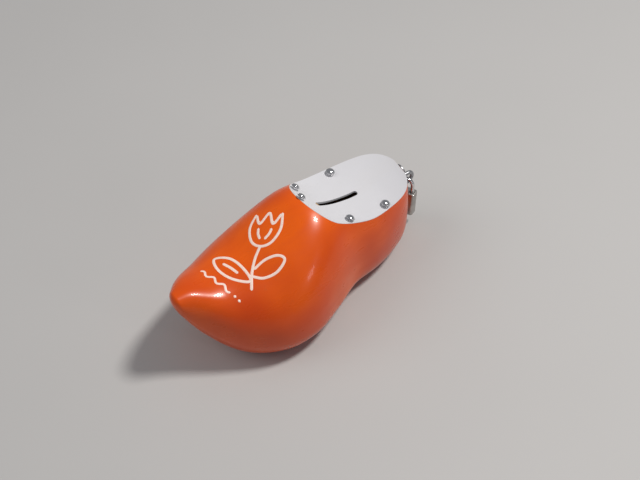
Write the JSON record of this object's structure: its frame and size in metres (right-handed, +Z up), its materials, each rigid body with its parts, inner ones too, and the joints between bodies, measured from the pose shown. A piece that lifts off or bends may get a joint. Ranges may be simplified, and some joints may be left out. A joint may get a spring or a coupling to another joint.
{
  "type": "wooden clog",
  "caption": "Glossy painted wooden clog made into a collecting box, with a screwed-down white sheet lid that has a coin slot, and a padlock on a staple behind the heel.",
  "frame": {"origin": "middle of the bottom of the whole part's box, on the floor under the clog", "axes": "+Z up, +Y from the toe to the heel, +X towards the clog's fuller side"},
  "size_m": [0.1216, 0.2798, 0.1168],
  "materials": {
    "orange_paint": "glossy orange paint over carved wood",
    "white_sheet": "white satin",
    "chrome": "bright",
    "zinc_steel": "dull zinc plate",
    "lock_steel": "brushed and streaky",
    "brass": "machined",
    "spring_steel": "bare"
  },
  "bodies": {
    "clog": {"clog_body": "orange_paint", "lid_plate": "white_sheet", "lid_screw_front_near": "chrome", "lid_screw_front_far": "chrome", "lid_screw_middle_near": "chrome", "lid_screw_middle_far": "chrome", "lid_screw_rear_near": "chrome", "strap_screw_upper": "chrome", "strap_screw_lower": "chrome", "staple_strap": "zinc_steel", "staple_bow": "zinc_steel"},
    "shackle": {"padlock_shackle": "chrome"},
    "lock_case": {"padlock_case": "lock_steel", "shackle_retaining_pin": "spring_steel", "plug_retaining_pin": "spring_steel", "shackle_spring": "spring_steel", "latch_spring": "spring_steel", "driver_pin_1": "brass", "driver_pin_2": "brass", "driver_pin_3": "brass", "driver_pin_4": "brass", "pin_spring_1": "spring_steel", "pin_spring_2": "spring_steel", "pin_spring_3": "spring_steel", "pin_spring_4": "spring_steel"},
    "key_plug": {"padlock_plug": "brass", "key_pin_1": "brass", "key_pin_2": "brass", "key_pin_3": "brass", "key_pin_4": "brass"},
    "latch": {"padlock_latch": "brass"}
  },
  "joints": [
    {"name": "padlock_swing", "type": "hinge", "parent": "clog", "child": "shackle", "pos_m": [-0.01045, 0.13145, 0.05654], "axis": [1, 0, 0], "range_deg": [0, 80]},
    {"name": "shackle_release", "type": "slide", "parent": "shackle", "child": "lock_case", "axis": [0, 0, -1], "range_m": [0, 0.005], "deforming": ["shackle_spring"]},
    {"name": "key_turn", "type": "hinge", "parent": "lock_case", "child": "key_plug", "pos_m": [-0.01045, 0.13145, 0.0215], "axis": [0, 0, 1], "range_deg": [0, 90]},
    {"name": "latch_slide", "type": "slide", "parent": "lock_case", "child": "latch", "axis": [-0.9336, -0.3584, 0], "range_m": [0, 0.0025], "deforming": ["latch_spring"]}
  ],
  "couplings": [
    {"joint": "key_turn", "follows": "shackle_release", "rad_per_m": 314.16},
    {"joint": "latch_slide", "follows": "shackle_release", "ratio": 0.48}
  ]
}
